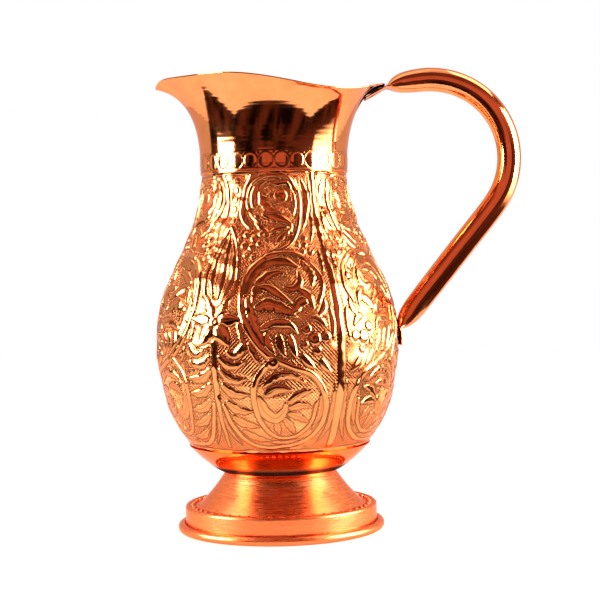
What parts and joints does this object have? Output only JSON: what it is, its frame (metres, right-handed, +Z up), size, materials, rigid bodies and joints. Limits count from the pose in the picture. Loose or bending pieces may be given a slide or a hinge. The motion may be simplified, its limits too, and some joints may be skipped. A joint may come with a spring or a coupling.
{
  "type": "water jug",
  "caption": "Footed pear-shaped copper pouring jug with embossed belly, flared mouth with pulled spout and bent tube handle.",
  "frame": {"origin": "on the jug's axis, in the plane the foot stands on", "axes": "+Z up along the jug's axis, +X towards the handle, -X towards the spout, +Y across"},
  "size_m": [0.2061, 0.1352, 0.2564],
  "materials": {
    "spun_copper": "polished copper with fine spinning lines",
    "embossed_copper": "polished embossed copper, darker in the recesses",
    "wire_copper": "drawn copper wire",
    "tube_copper": "polished copper tube"
  },
  "bodies": {
    "root": {"neck_mouth": "spun_copper", "belly": "embossed_copper", "bottom_bowl": "spun_copper", "foot_pedestal": "spun_copper", "foot_edge_wire": "wire_copper", "handle_tube": "tube_copper"}
  },
  "joints": []
}
